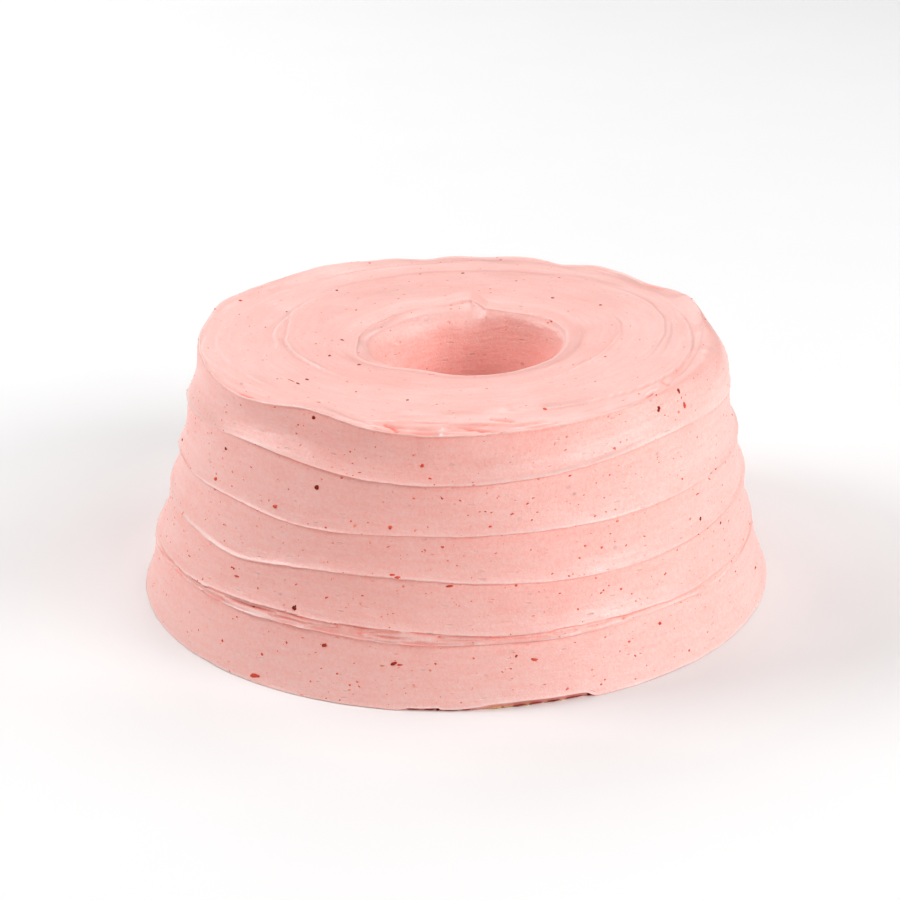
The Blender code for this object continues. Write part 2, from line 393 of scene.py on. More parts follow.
def foot_rows(azimuth):
    """(row, blush) from the recess for the sponge, out under the frosting's edge, to the edge's tip."""
    radius, edge = FOOT.root(azimuth)
    lift = FOOT.lift(azimuth)
    inner = radius - 0.30 - 0.75 * lift
    wavy = 0.20 * lift * round_noise(azimuth, 7.0, 14)
    recess = (RECESS_LEVEL - LOWEST) / (edge - LOWEST)
    # Radius, share of the way up to the edge, how much deeper the pink where the edge is lifted: painted
    # shade under the lifted edge, painted highlight as paler pink on its tip
    profile = (
        (RECESS_RADIUS, recess, 0.0),
        (RECESS_RADIUS, 0.0, 0.0),
        (inner - 0.2 - 0.5 * lift, 0.0, 0.5),
        (inner - 0.05 + wavy, 0.22, 0.4),
        (inner + 0.10 + wavy, 0.75, 0.15),
        (radius - 0.10 - 0.30 * lift, 0.88, 0.2),
        (radius + 0.10 * lift, 0.95, -0.15),
        (radius + 0.05 + 0.25 * lift, 1.0, -0.3),
    )
    rows = []
    for out, share, deeper in profile:
        rows.append((place(out, LOWEST + share * (edge - LOWEST), azimuth), PLAIN + lift * deeper))
    return rows


# How far out a fold's step is level with the top again
STEP_REACH = 9.0


class Fold:
    """A thin line raised on the top where one sweep of the spatula ends on another."""

    def __init__(self, line, ends, rise, width, step, fades, seed):
        self.line, self.ends, self.rise, self.width = line, ends, rise, width
        self.step, self.fades, self.seed = step, fades, seed

    def relief(self, radius, azimuth):
        """(height, how much paler the pink) of the fold: the paler crest is a painted highlight, the deeper
        pink below its step painted shade.
        """
        off = radius - layered(azimuth, along(self.line, azimuth), FOLD_WAVER, self.seed)
        shown = stretch(azimuth, *self.ends, *self.fades)
        crest = bell(off, self.width)
        ledge = self.step * (smooth(off / (2.0 * self.width) + 0.5) - smooth(off / STEP_REACH))
        pale = FOLD_PALE * self.rise * crest - STEP_DEEP * self.step * bell(off - self.width, self.width)
        return shown * (self.rise * crest - ledge), shown * pale


# Lines on the top that rows of the mesh follow: outer, middle and inner
OUTER_GUIDE = (75.0, ((62, 32, 4.6), (104, 22, 3.0), (-88, 18, 4.0)))
MIDDLE_GUIDE = (64.0, ((-108, 24, -3.7), (-84, 9, -3.6), (114, 45, 8.5), (178, 40, 0.5)))
INNER_GUIDE = (53.0, ((-118, 12, 6.5), (-100, 18, 2.2), (-80, 14, 1.6), (100, 22, 3.0)))
LEFT_GUIDE = (80.3, ((-84, 12, 3.5), (-60, 10, -0.8)))
# Folds: their line, from and to azimuth, height, width, step down outside them, fades, seed
FOLDS = (
    Fold(MIDDLE_GUIDE, (-128, -84), 0.50, 0.50, 0.65, (8, 14), 1),
    Fold(INNER_GUIDE, (-120, -50), 0.50, 0.45, 0.70, (6, 18), 2),
    Fold(INNER_GUIDE, (46, 108), 0.26, 0.42, 0.28, (16, 14), 3),
    Fold(MIDDLE_GUIDE, (64, 128), 0.28, 0.45, 0.32, (12, 18), 4),
    Fold(OUTER_GUIDE, (20, 104), 0.50, 0.38, 0.45, (4, 14), 5),
    Fold(OUTER_GUIDE, (-96, -52), 0.26, 0.45, 0.30, (12, 10), 6),
    Fold(LEFT_GUIDE, (-92, -54), 0.30, 0.45, 0.25, (8, 8), 7),
    Fold(MIDDLE_GUIDE, (150, 226), 0.06, 0.90, 0.35, (16, 18), 9),
    Fold(OUTER_GUIDE, (-176, -124), 0.22, 0.60, 0.35, (14, 16), 10),
)
# How far the top is sunk between the inner guide and the middle one
SUNK_BETWEEN = (0.0, ((-100, 17, 0.35),))

# A line's width at its ends, as a share of that in its middle
LINE_END_SHARE = 0.35
# Torn creases in the top, most of them behind the lip: from x, y to x, y, how deep and how wide
CREASES = (
    (-21, -79.6, -16.5, -84, 0.85, 0.6), (-24.5, -79, -14.5, -82.5, 0.24, 1.2),
    (1.5, -82.8, 15, -86.6, 0.85, 0.5), (11, -77.8, 18.5, -79.8, 0.55, 0.8),
    (-12, -79.6, 12, -81.6, 0.3, 0.7), (-6.5, -74.2, 11.5, -73.8, 0.08, 0.4),
    (-67, -50.5, -62, -57, 0.85, 0.8), (-22, -84, -10, -86.5, 0.35, 0.8), (20, -83.5, 30, -82, 0.3, 0.8),
    (57.5, -63.5, 62.5, -56, 0.55, 0.7), (65.5, -58, 72, -49.5, 0.45, 0.7), (69.5, -52, 66, -46, 0.4, 0.6),
    (71, -48, 72.5, -42, 0.5, 0.7), (74, 44, 66, 55, 0.45, 0.9), (-58, 64, -66, 55, 0.5, 0.9),
    (-20, 83, -10, 85, 0.55, 0.9),
)
# Thin raised lines there, in the same form, with how high for how deep
WRINKLES = (
    (-26.5, -77, -16.5, -78, 0.35, 0.5), (-12, -78.4, -1, -80.4, 0.45, 0.5),
    (-1, -80.4, 11.5, -80.2, 0.4, 0.5), (-21, -72, -7, -73.4, 0.12, 0.45), (-7, -73.4, 22, -72.6, 0.12, 0.45),
    (-3, -83, -4, -88, 0.45, 0.6), (-25, -80.5, -16, -85.5, 0.4, 0.6), (16, -85, 30, -80.5, 0.45, 0.5),
    (30.5, -82, 42, -78.8, 0.45, 0.5), (42, -78.8, 57, -65.5, 0.45, 0.5), (57, -65.5, 62, -55, 0.4, 0.5),
    (32, -80, 46, -72.6, 0.3, 0.5), (60, -57.5, 64.5, -52, 0.45, 0.6), (68, -56.5, 76, -43.5, 0.35, 0.6),
)


def near_line(x, y, from_x, from_y, to_x, to_y, width):
    """1 on a straight line on the top, fading at its sides and towards its ends."""
    dx, dy = to_x - from_x, to_y - from_y
    share = ((x - from_x) * dx + (y - from_y) * dy) / math.hypot(dx, dy) ** 2
    kept = np.clip(share, 0.0, 1.0)
    away = np.hypot(x - from_x - kept * dx, y - from_y - kept * dy)
    return bell(away, width * (LINE_END_SHARE + (1.0 - LINE_END_SHARE) * np.sin(np.pi * kept)) + 1e-6)


# Where the frosting behind the lip is torn, how far in, how high, and its noises
CRUMPLE = ((-4, 21, 1.0), (30, 9, 0.35), (-55, 10, 0.45), (64, 12, 0.35), (150, 20, 0.6), (-120, 14, 0.4))
CRUMPLE_REACH, CRUMPLE_FADE = 10.0, 1.2
CRUMPLE_RISE = 0.42
CRUMPLE_LOOPS = ((13.0, 1.7, 81), 3.0, (5.0, 1.3, 82), 0.5)
RELIEF_FADE = 0.8


def top_relief(x, y, azimuth, from_lip):
    """(height above the plain top, how much deeper the pink) of all that the spatula left on it; the pink is
    painted shade in creases and the torn zone and painted highlight on folds, wrinkles and tears.
    """
    radius = np.hypot(x, y)
    height, deeper = 0.0 * radius, 0.0 * radius
    for fold in FOLDS:
        rise, pale = fold.relief(radius, azimuth)
        height, deeper = height + rise, deeper - pale
    inside = smooth((radius - along(INNER_GUIDE, azimuth)) / RELIEF_FADE)
    inside *= smooth((along(MIDDLE_GUIDE, azimuth) - radius) / RELIEF_FADE)
    height -= inside * along(SUNK_BETWEEN, azimuth)
    for *line, depth, width in CREASES:
        height -= depth * near_line(x, y, *line, width)
        # Deeper pink in the crease: painted shade
        deeper += CREASE_DEEP * depth * near_line(x, y, *line, 0.8 * width)
    for *line, rise, width in WRINKLES:
        raised = rise * near_line(x, y, *line, width)
        # Paler pink on the wrinkle: a painted highlight
        height, deeper = height + raised, deeper - WRINKLE_PALE * raised
    # The torn zone behind the lip: deeper pink as painted shade, paler on its raised tears as a painted
    # highlight
    share = bumps(azimuth, CRUMPLE) * smooth(1.0 - from_lip / CRUMPLE_REACH) * smooth(from_lip / CRUMPLE_FADE)
    ripple, _ = torn(azimuth, from_lip, *CRUMPLE_LOOPS)
    return height + CRUMPLE_RISE * share * ripple, deeper + share * (0.10 - TORN_PALE * ripple)


# The hole's rim, with a pointed corner, and the scooped ledge inside it, down to where the hole is steep
RIM_LINE = (31.8, ((-64, 20, 6.3), (-100, 26, 4.6), (-150, 22, 5.2), (-176, 9, 4.5), (-30, 14, -1.3),
                   (118, 26, 1.8), (150, 14, -1.4)))
RIM_LEVEL = (84.2, ((30, 70, -0.9), (178, 10, 0.1), (-100, 40, 0.2)))
CORNER_AT, CORNER_RISE, CORNER_LEFT, CORNER_RIGHT = 178.0, 4.8, 8.0, 9.0
LEDGE = (0.0, ((-132, 48, 1.0), (178, 14, 0.30)))
RIM_STEP = (0.08, ((170, 12, 0.35),))
STEEP_LINE = (30.8, ((-30, 14, -0.6), (-88, 26, 0.4), (-135, 24, -1.6), (165, 40, -1.5)))
STEEP_DROP = 2.0
LEDGE_DROP = 5.6
LEDGE_SAG = 0.58
STEP_FADE = 0.05
CREASE_ENDS, CREASE_FADE = (-158.0, -98.0), 20.0
CREASE_SHARE, CREASE_RISE, CREASE_BLUSH = 0.52, 0.45, 0.16
HOLE_FOOT_LEVEL = 0.15
HOLE_SHADING_FADE = 0.12
# Raised edges and rounded ones on the top: how high and how wide
LIP_CREST, RIM_CREST = (0.55, 0.45), (0.24, 0.55)
LIP_CHAMFER, RIM_CHAMFER = 9.0, 7.0
TOP_CROWN = 0.6
# Rows of the mesh: how far in from the lip, how far off each guide and the rim, shares of ledge and hole
LIP_ROWS = (0.22, 0.55, 0.95, 1.4, 1.85, 2.35, 2.85, 3.4, 4.0, 4.6, 5.2, 5.9, 6.6, 7.4, 8.2, 9.1, 10.0)
GUIDE_ROWS = (
    (OUTER_GUIDE, (0.9, 0.4, 0.0, -0.4, -0.9)),
    (MIDDLE_GUIDE, (3.0, 1.0, 0.4, 0.0, -0.4, -1.0, -2.4)),
    (INNER_GUIDE, (2.2, 0.9, 0.4, 0.0, -0.4, -0.9, -2.2, -5.0)),
)
RIM_ROWS = (9.0, 6.8, 5.0, 3.6, 2.5, 1.6, 0.9, 0.4, 0.0)
ROW_SPACING = 0.13
LEDGE_ROWS = (0.04, 0.11, 0.24, 0.38, 0.52, 0.66, 0.82, 1.0)
HOLE_ROWS = (0.03, 0.08, 0.15, 0.25, 0.38, 0.53, 0.70, 0.86, 1.0)
# Where the top's paler ring starts at the middle guide and not at the inner one
BACK_RING = (0.0, ((-150, 50, 1.0), (160, 40, 0.9)))


def rim_line(azimuth):
    """Radius, about the hole's centre, and level of the line where the top turns into the hole."""
    away = gap(azimuth, CORNER_AT)
    corner = np.where(away > 0.0, 1.0 - away / CORNER_LEFT, 1.0 + away / CORNER_RIGHT)
    radius = along(RIM_LINE, azimuth) + CORNER_RISE * np.clip(corner, 0.0, 1.0)
    return layered(azimuth, radius, RIM_WAVER), along(RIM_LEVEL, azimuth)


def top_radii(azimuth, far, near):
    """Radii of the top's rows from the lip to the rim, close together along the folds."""
    rows = [far - reach for reach in LIP_ROWS]
    for guide, offs in GUIDE_ROWS:
        rows += [along(guide, azimuth) + off for off in offs]
    rows += [near + reach for reach in RIM_ROWS]
    for index in range(1, len(rows)):
        rows[index] = np.minimum(rows[index], rows[index - 1] - ROW_SPACING)
    for index in range(len(rows) - 2, -1, -1):
        rows[index] = np.maximum(rows[index], rows[index + 1] + ROW_SPACING)
    return rows


def top_rows(azimuth):
    """(row, blush) from just inside the lip to the hole's rim."""
    lip_radius, lip_level = LIP.root(azimuth)
    rim_radius, rim_level = rim_line(azimuth)
    outer = place(lip_radius, TOP_LEVEL, azimuth)
    inner = place(rim_radius, TOP_LEVEL, azimuth, HOLE_X, HOLE_Y)
    far, near = np.hypot(outer[:, 0], outer[:, 1]), np.hypot(inner[:, 0], inner[:, 1])
    back = along(BACK_RING, azimuth)
    ring = along(INNER_GUIDE, azimuth) * (1.0 - back) + along(MIDDLE_GUIDE, azimuth) * back
    crest = LIP.strength(azimuth)
    rows = []
    for radius in top_radii(azimuth, far, near):
        from_lip, from_rim = far - radius, radius - near
        spot = outer + (inner - outer) * (from_lip / (far - near))[:, None]
        x, y = spot[:, 0], spot[:, 1]
        level = TOP_LEVEL + TOP_CROWN * (1.0 - (radius / TOP_RADIUS) ** 2)
        level += (lip_level - level) * (1.0 - smooth(from_lip / LIP_CHAMFER))
        level += (rim_level - level) * (1.0 - smooth(from_rim / RIM_CHAMFER))
        relief, deeper = top_relief(x, y, azimuth, from_lip)
        level += relief * smooth(from_lip / RELIEF_FADE) + RIM_CREST[0] * bell(from_rim, RIM_CREST[1])
        level += LIP_CREST[0] * crest * bell(from_lip, LIP_CREST[1])
        # Painted shade at the front of the top, and painted light as paler pink outside the ring, on the
        # lip's crest and at the rim
        blush = PLAIN + along(TOP_PAINTED_SHADE, azimuth) + deeper
        blush -= RING_PALE * smooth((radius - ring) / RING_FADE + 0.5)
        blush -= CREST_PALE * crest * bell(from_lip - 0.2, 0.4)
        blush -= RIM_PALE * bell(from_rim, 0.5)
        rows.append((np.stack([x, y, level], -1), blush))
    return rows


def hole_rows(azimuth):
    """(row, blush) of the scooped ledge inside the rim, then the hole's wall down to the underside."""
    rim_radius, rim_level = rim_line(azimuth)
    steep_radius = layered(azimuth, along(STEEP_LINE, azimuth), STEEP_WAVER)
    ledge = np.clip(along(LEDGE, azimuth), 0.0, 1.0)
    step = along(RIM_STEP, azimuth)
    drop = STEEP_DROP + LEDGE_DROP * ledge
    creased = stretch(azimuth, *CREASE_ENDS, CREASE_FADE, CREASE_FADE)
    rows = []
    for share in LEDGE_ROWS:
        radius = rim_radius + (steep_radius - rim_radius) * share
        fall = drop * ((1.0 - LEDGE_SAG) * share + LEDGE_SAG * share ** 4)
        fall += step * (1.0 - math.exp(-share / STEP_FADE))
        fall -= CREASE_RISE * creased * bell(share - CREASE_SHARE, 0.07)
        # Paler pink on the ledge as painted light, deeper in its crease as painted shade
        blush = PLAIN - LEDGE_PALE * ledge * smooth(share / 0.15) * (1.0 - smooth((share - 0.74) / 0.26))
        blush += CREASE_BLUSH * creased * bell(share - CREASE_SHARE + 0.05, 0.05)
        rows.append((place(radius, rim_level - fall, azimuth, HOLE_X, HOLE_Y), blush))
    low = rim_level - drop - step
    for share in HOLE_ROWS:
        left = 1.0 - share
        radius = HOLE_BASE_RADIUS + (steep_radius - HOLE_BASE_RADIUS) * left ** HOLE_FLARE
        # Deeper pink down the hole as painted shade and painted red bounce light, paler on its left wall as
        # painted light
        blush = PLAIN + along(HOLE_PAINTED_SHADING, azimuth) * smooth(share / HOLE_SHADING_FADE)
        level = low * left + HOLE_FOOT_LEVEL * share
        rows.append((place(radius, level, azimuth, HOLE_X * left, HOLE_Y * left), blush))
    return rows


def column_azimuths():
    """Azimuths of the mesh's columns, closer together at the front; the last rounds on the first."""
    turn = np.linspace(-180.0, 180.0, COLUMNS, endpoint=False)
    return turn - np.degrees(FRONT_DENSITY * np.sin(np.radians(turn)))


def frosting_rows(azimuth):
    """(zone, row, blush) from the recess under the foot up the wall, over the top and down the hole."""
    rows = [("foot", *row) for row in foot_rows(azimuth)]
    rounded = np.clip(along(SHOULDER, azimuth), 0.0, 1.0)
    strokes = (
        (FOOT, LOWER_SEAM, FOOT_TROUGH_DEPTH),
        (LOWER_SEAM, UPPER_SEAM, STRIP_DEPTH),
        (UPPER_SEAM, STROKE_2, TROUGH_DEPTH),
        (STROKE_2, STROKE_3, TROUGH_DEPTH),
        (STROKE_3, STROKE_4, TROUGH_DEPTH),
        (STROKE_4, LIP, TOP_TROUGH_DEPTH, rounded),
    )
    for lower, upper, *rest in strokes:
        zone = "strip" if lower is LOWER_SEAM else "wall"
        shares = STRIP_SHARES if zone == "strip" else band_shares(upper.line[0] - lower.line[0])
        rows += [(zone, *row) for row in stroke_rows(azimuth, shares, lower, upper, *rest)]
    rows += [("top", *row) for row in top_rows(azimuth)]
    rows += [("hole", *row) for row in hole_rows(azimuth)]
    return rows


# Fine unevenness of each zone: height, cell length along the sweep and across it, seed
WEATHER = {
    "foot": ((0.10, 9.0, 2.0, 101),),
    "wall": ((0.26, 46.0, 9.0, 102), (0.11, 19.0, 3.6, 103), (0.06, 32.0, 1.5, 104), (0.04, 4.0, 2.2, 105)),
    "strip": ((0.16, 20.0, 4.0, 106), (0.06, 4.0, 1.6, 107)),
    "top": ((0.17, 34.0, 9.0, 108), (0.06, 16.0, 3.6, 109), (0.025, 34.0, 1.8, 110), (0.02, 4.0, 2.4, 111)),
    "hole": ((0.25, 70.0, 12.0, 112), (0.10, 16.0, 4.0, 113)),
}
# Where the strip above the foot is torn, and how: its noises, then the cuts' place on them and width
TORN_STRETCHES = ((-16, 46, 1.0), (-52, 20, 0.6), (150, 30, 0.6))
LEAST_TORN = 0.25
STRIP_LOOPS = ((11.0, 0.75, 120), 2.8, (3.0, 0.7, 121), 0.4)
# The cuts' depth, and how much deeper their pink is as painted shade
CUT_AT, CUT_WIDTH, CUT_DEPTH, CUT_BLUSH = 0.20, 0.09, 0.30, 0.34
STRIP_RISE = 0.40


def grid_normals(points):
    """Unit normals of a grid whose rows close on themselves."""
    sideways = np.roll(points, -1, 1) - np.roll(points, 1, 1)
    upward = np.gradient(points, axis=0)
    normals = np.cross(sideways, upward)
    return normals / np.maximum(np.linalg.norm(normals, axis=-1, keepdims=True), 1e-9)


def profile_lengths(points):
    """How far along the profile each row lies, on average over the columns."""
    steps = np.linalg.norm(np.diff(points, axis=0), axis=-1).mean(1)
    return np.concatenate([[0.0], np.cumsum(steps)])


# How far off a place may be from the nearest point of the top and still be kept
OFF_THE_TOP = 0.8


class Surface:
    """The frosting's grid of points, with places on it found by azimuth and level or by x and y."""

    def __init__(self):
        self.azimuth = column_azimuths()
        zoned = frosting_rows(self.azimuth)
        self.zones = np.array([zone for zone, _, _ in zoned])
        self.points = np.stack([row for _, row, _ in zoned])
        self.blush = np.stack([blush for _, _, blush in zoned])
        self.weather()
        middle = 0.5 * (self.points.min((0, 1)) + self.points.max((0, 1)))
        self.points = self.points - np.array([middle[0], middle[1], 0.0])
        self.normals = grid_normals(self.points)
        self.profile = profile_lengths(self.points)
        self.blush = np.clip(self.blush, 0.0, 1.0)

    def weather(self):
        """Moves the points in and out a little, by zone."""
        normals = grid_normals(self.points)
        profile = profile_lengths(self.points)
        for index, zone in enumerate(self.zones):
            if index < RECESS_ROWS:
                continue
            across = np.full_like(self.azimuth, profile[index])
            shift = np.zeros_like(self.azimuth)
            for height, length, width, seed in WEATHER[zone]:
                shift += height * swept_noise(self.azimuth, across, length, width, seed)
            if zone == "strip":
                rise, loops = torn(self.azimuth, across, *STRIP_LOOPS)
                cut = bell(loops - CUT_AT, CUT_WIDTH)
                share = np.clip(bumps(self.azimuth, TORN_STRETCHES), LEAST_TORN, 1.0)
                shift += (STRIP_RISE * rise - CUT_DEPTH * cut) * share
                # Deeper pink in the cuts as painted shade, paler on the raised tears as a painted highlight
                self.blush[index] += (CUT_BLUSH * cut - TORN_PALE * rise) * share
            self.points[index] += normals[index] * shift[:, None]
        self.points[:, :, 2] = np.maximum(self.points[:, :, 2], LOWEST)

    def rows_of(self, *zones):
        return np.flatnonzero(np.isin(self.zones, zones))

    def on_wall(self, azimuth, level):
        """(point, normal) on the wall at an azimuth and a level."""
        column = int(np.abs(gap(self.azimuth, azimuth)).argmin())
        rows = self.rows_of("wall", "strip")
        levels = np.maximum.accumulate(self.points[rows, column, 2])
        row = rows[int(np.abs(levels - level).argmin())]
        point = self.points[row, column] + (0.0, 0.0, level - self.points[row, column, 2])
        return point, self.normals[row, column]

    def on_top(self, x, y):
        """(point, normal) on the top at x and y, or at its nearest place to them."""
        rows = self.rows_of("top", "hole")
        flat = self.points[rows, :, :2] - np.array([x, y])
        row, column = np.unravel_index((flat ** 2).sum(-1).argmin(), flat.shape[:2])
        point, normal = self.points[rows[row], column], self.normals[rows[row], column]
        if math.hypot(point[0] - x, point[1] - y) > OFF_THE_TOP:
            return point, normal
        return np.array([x, y, point[2]]), normal

    def scattered(self, rng, count, *zones):
        """Random (point, normal) pairs, spread evenly over the area of these zones."""
        rows = self.rows_of(*zones)
        rows = rows[rows < len(self.zones) - 1]
        along_row = np.linalg.norm(np.roll(self.points, -1, 1)[rows] - self.points[rows], axis=-1)
        across = np.linalg.norm(self.points[rows + 1] - self.points[rows], axis=-1)
        area = (along_row * across).ravel()
        picks = rng.choice(area.size, count, p=area / area.sum())
        row, column = rows[picks // COLUMNS], picks % COLUMNS
        share_row, share_column = rng.uniform(0, 1, (2, count, 1))
        beside = (column + 1) % COLUMNS
        low = self.points[row, column] * (1 - share_column) + self.points[row, beside] * share_column
        high = self.points[row + 1, column] * (1 - share_column) + self.points[row + 1, beside] * share_column
        return low * (1 - share_row) + high * share_row, self.normals[row, column]


def new_object(name, mesh):
    made = bpy.data.objects.new(name, mesh)
    bpy.context.scene.collection.objects.link(made)
    return made


def mesh_from(name, vertices, faces):
    """A smooth-shaded mesh from points in millimetres and the corners of its faces."""
    mesh = bpy.data.meshes.new(name)
    mesh.from_pydata((np.asarray(vertices) * MM).tolist(), (), faces)
    mesh.shade_smooth()
    mesh.validate()
    return mesh


def add_layer(mesh, name, kind, field, values):
    """A value for each point of the mesh, under a name that a material reads."""
    layer = mesh.attributes.new(name, kind, "POINT")
    layer.data.foreach_set(field, np.asarray(values, dtype=np.float32).ravel())


def ring_quads(first, second):
    """Quads between two closed rows of vertex numbers of the same length."""
    return np.stack([first, np.roll(first, -1), np.roll(second, -1), second], -1).tolist()


def fewer_columns(full, half):
    """Triangles from a full row to the row after it, which has half as many columns."""
    left, middle, right = full[::2], full[1::2], np.roll(full, -2)[::2]
    beside = np.roll(half, -1)
    triangles = ((left, middle, half), (middle, beside, half), (middle, right, beside))
    return np.concatenate([np.stack(corners, -1) for corners in triangles]).tolist()


def frosting_mesh(surface):
    """One closed mesh: the grid, with half as many columns down the hole and across the underside."""
    full_rows = len(surface.zones) - len(HOLE_ROWS)
    around = np.radians(surface.azimuth[::HOLE_COLUMN_SKIP])
    circle = RECESS_HOLE_RADIUS * np.stack([np.sin(around), -np.cos(around), 0.0 * around], -1)
    plain = np.full(len(around), PLAIN)
    rows = list(zip(surface.points, surface.blush, surface.profile))
    for index in range(full_rows, len(rows)):
        points, blush, length = rows[index]
        rows[index] = (points[::HOLE_COLUMN_SKIP], blush[::HOLE_COLUMN_SKIP], length)
    for level, further in RECESS_HOLE_ROWS:
        rows.append((circle + (0.0, 0.0, level), plain, surface.profile[-1] + further))

    counts = [len(points) for points, _, _ in rows]
    numbers = np.split(np.arange(sum(counts)), np.cumsum(counts)[:-1])
    faces = []
    for index, (this, following) in enumerate(zip(numbers, numbers[1:])):
        joined = fewer_columns if index == full_rows - 1 else ring_quads
        faces += joined(this, following)
    faces += [corners[::-1] for corners in fewer_columns(numbers[0], numbers[-1])]

    vertices = np.concatenate([points for points, _, _ in rows])
    lengths = np.repeat([length for _, _, length in rows], counts)
    shares = np.concatenate([np.arange(count) / count for count in counts])
    mesh = mesh_from("frosting", vertices, faces)
    # Texture places in millimetres: round the cake in x and y, and along the profile in z
    sweep = np.stack([vertices[:, 0], vertices[:, 1], lengths], -1)
    add_layer(mesh, "sweep", "FLOAT_VECTOR", "vector", sweep)
    add_layer(mesh, "blush", "FLOAT", "value", np.concatenate([blush for _, blush, _ in rows]))
    add_bake_map(mesh, shares, lengths / (lengths.max() + BAKE_MARGIN))
    return mesh


def add_bake_map(mesh, across, upward):
    """A map of the whole mesh on a square, for textures baked from it."""
    corners = np.zeros(len(mesh.loops), dtype=np.int32)
    mesh.loops.foreach_get("vertex_index", corners)
    starts = np.zeros(len(mesh.polygons), dtype=np.int32)
    sizes = np.zeros(len(mesh.polygons), dtype=np.int32)
    mesh.polygons.foreach_get("loop_start", starts)
    mesh.polygons.foreach_get("loop_total", sizes)
    face = np.repeat(np.arange(len(sizes)), sizes)
    u, v = across[corners], upward[corners]
    widest = np.maximum.reduceat(u, starts)[face]
    u = np.where(widest - u > 0.5, u + 1.0, u)
    closing = np.maximum.reduceat(v, starts)[face] - v > 0.5
    v = np.where(closing, 1.0, v)
    layer = mesh.uv_layers.new(name="OFBake")
    layer.data.foreach_set("uv", np.stack([u, v], -1).astype(np.float32).ravel())


SPONGE_COLUMNS = 360
SPONGE_SHOWN = ((7, 5, 2.6), (16, 6, 1.6), (30, 6, 2.9))


def sponge_mesh():
    """The bare underside of the sponge, a thin ring let into the frosting; it shows at the front gap."""
    azimuth = np.linspace(0.0, 360.0, SPONGE_COLUMNS, endpoint=False)
    outer = layered(azimuth, RECESS_RADIUS - 0.3 + bumps(azimuth, SPONGE_SHOWN), SPONGE_WAVER)
    inner = layered(azimuth, RECESS_HOLE_RADIUS + 0.6, SPONGE_HOLE_WAVER)
    # Radius and level
    profile = (
        (inner + 0.4, 0.0), (0.5 * (inner + outer), 0.0), (outer - 0.5, 0.0), (outer, 0.3),
        (outer - 0.1, 0.5), (outer - 0.7, 0.75), (inner + 0.5, 1.25), (inner, 0.5),
    )
    angle = np.radians(azimuth)
    rows = [np.stack([r * np.sin(angle), -r * np.cos(angle), z + 0.0 * angle], -1) for r, z in profile]
    order = np.arange(len(rows) * SPONGE_COLUMNS).reshape(len(rows), -1)
    faces = []
    for this, following in zip(order, np.roll(order, -1, 0)):
        faces += ring_quads(this, following)
    return mesh_from("sponge_underside", np.concatenate(rows), faces)


def unit_ball(finer):
    """Points and triangles of an icosphere of radius 1."""
    shape = bmesh.new()
    bmesh.ops.create_icosphere(shape, subdivisions=finer, radius=1.0)
    shape.verts.index_update()
    points = np.array([list(vertex.co) for vertex in shape.verts])
    triangles = np.array([[vertex.index for vertex in face.verts] for face in shape.faces])
    shape.free()
    return points, triangles


class Flecks:
    """Small irregular lumps half sunk in the frosting, joined into one mesh."""

    def __init__(self, name, seed, finer=2):
        self.name, self.rng = name, np.random.default_rng(seed)
        self.ball, self.triangles = unit_ball(finer)
        self.vertices, self.faces, self.tones = [], [], []

    def add(self, spot, size, turn, tone, sunk, rough=0.28):
        """One lump: (point, normal), (length, width, thickness) and degrees turned from the sweep."""
        point, normal = (np.asarray(part, dtype=float) for part in spot)
        sweep = np.cross((0.0, 0.0, 1.0), normal)
        if np.linalg.norm(sweep) < 0.15:
            sweep = np.array([-point[1], point[0], 0.0])
        sweep = sweep / np.linalg.norm(sweep)
        across = np.cross(normal, sweep)
        angle = math.radians(turn)
        first = sweep * math.cos(angle) + across * math.sin(angle)
        second = across * math.cos(angle) - sweep * math.sin(angle)
        lumps = self.rng.normal(0.0, 1.0, (3, 3))
        swell = 1.0 + rough * np.sin(self.ball @ lumps[0] * 2.0 + lumps[1][0])
        swell += 0.5 * rough * np.sin(self.ball @ lumps[2] * 4.0)
        shape = self.ball * swell[:, None] * (0.5 * np.asarray(size))
        shape[:, 2] = shape[:, 2] - sunk * size[2]
        placed = point + shape[:, :1] * first + shape[:, 1:2] * second + shape[:, 2:] * normal
        self.faces.append(self.triangles + len(self.ball) * len(self.vertices))
        self.vertices.append(placed)
        self.tones.append(np.full(len(self.ball), tone))

    def mesh(self):
        vertices = np.concatenate(self.vertices)
        vertices[:, 2] = np.maximum(vertices[:, 2], LOWEST_FLECK)
        made = mesh_from(self.name, vertices, np.concatenate(self.faces).tolist())
        add_layer(made, "tone", "FLOAT", "value", np.concatenate(self.tones))
        return made


